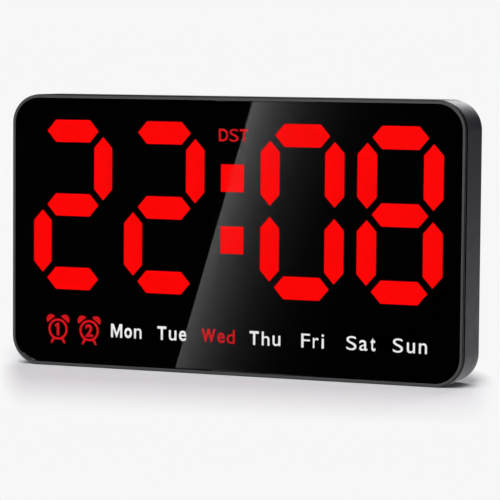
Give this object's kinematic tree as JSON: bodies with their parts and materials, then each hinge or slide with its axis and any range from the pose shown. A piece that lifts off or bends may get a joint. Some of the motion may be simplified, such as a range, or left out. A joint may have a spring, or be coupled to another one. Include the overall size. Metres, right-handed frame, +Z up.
{
  "type": "digital wall clock",
  "caption": "Slim rounded digital clock with a glossy dark panel, lit red segment digits, back push buttons, keyhole hangers and a fold-out stand leg.",
  "frame": {"origin": "middle of the base, on the surface that the clock stands on", "axes": "+X to the right seen from the front, -Y out of the display, +Z up"},
  "size_m": [0.245, 0.027, 0.14],
  "materials": {
    "charcoal_plastic": "fine moulded texture",
    "rim_plastic": "satin",
    "lens_acrylic": "polished",
    "mask_film": "matt black ink",
    "white_plastic": "moulded",
    "lit_diffuser": "lit from behind",
    "dark_diffuser": "smoked",
    "label_diffuser": "milky",
    "circuit_board": "solder mask",
    "led_package": "moulded",
    "chip_package": "moulded",
    "capacitor_sleeve": "sleeved",
    "plated_steel": "plated",
    "black_steel": "blackened",
    "contact_brass": "sprung strip",
    "button_plastic": "satin",
    "plunger_plastic": "moulded"
  },
  "bodies": {
    "clock": {"rear_housing": "charcoal_plastic", "bezel_frame": "rim_plastic", "front_lens": "lens_acrylic", "mask_film": "mask_film", "reflector_frame": "white_plastic", "hour_tens_segments": "lit_diffuser", "hour_units_segments": "lit_diffuser", "minute_tens_segments": "lit_diffuser", "minute_units_segments": "lit_diffuser", "unlit_segments": "dark_diffuser", "colon_dots": "lit_diffuser", "label_diffusers": "label_diffuser", "led_board": "circuit_board", "led_chips": "led_package", "controller_chip": "chip_package", "driver_chips": "chip_package", "crystal": "plated_steel", "capacitors": "capacitor_sleeve", "buzzer": "chip_package", "socket_shell": "plated_steel", "socket_tongue": "chip_package", "switch_bodies": "chip_package", "coin_cell": "plated_steel", "plus_contact": "contact_brass", "minus_contact": "contact_brass", "housing_screws": "black_steel", "board_screws": "plated_steel"},
    "stand_leg": {"stand_leg": "charcoal_plastic", "stand_pin": "plated_steel"},
    "battery_door": {"battery_door": "charcoal_plastic"},
    "set_button": {"set_button": "button_plastic", "set_plunger": "plunger_plastic"},
    "up_button": {"up_button": "button_plastic", "up_plunger": "plunger_plastic"},
    "down_button": {"down_button": "button_plastic", "down_plunger": "plunger_plastic"},
    "alarm_button": {"alarm_button": "button_plastic", "alarm_plunger": "plunger_plastic"}
  },
  "joints": [
    {"name": "stand_leg_hinge", "type": "hinge", "parent": "clock", "child": "stand_leg", "pos_m": [0, 0.0106, 0.09], "axis": [1, 0, 0], "range_deg": [0, 25]},
    {"name": "battery_door_twist", "type": "hinge", "parent": "clock", "child": "battery_door", "pos_m": [-0.072, 0.0135, 0.058], "axis": [0, 1, 0], "range_deg": [0, 45]},
    {"name": "set_button_press", "type": "slide", "parent": "clock", "child": "set_button", "axis": [0, -1, 0], "range_m": [0, 0.0005], "stiffness_N_per_m": 1000, "springref_m": -0.0005},
    {"name": "up_button_press", "type": "slide", "parent": "clock", "child": "up_button", "axis": [0, -1, 0], "range_m": [0, 0.0005], "stiffness_N_per_m": 1000, "springref_m": -0.0005},
    {"name": "down_button_press", "type": "slide", "parent": "clock", "child": "down_button", "axis": [0, -1, 0], "range_m": [0, 0.0005], "stiffness_N_per_m": 1000, "springref_m": -0.0005},
    {"name": "alarm_button_press", "type": "slide", "parent": "clock", "child": "alarm_button", "axis": [0, -1, 0], "range_m": [0, 0.0005], "stiffness_N_per_m": 1000, "springref_m": -0.0005}
  ]
}
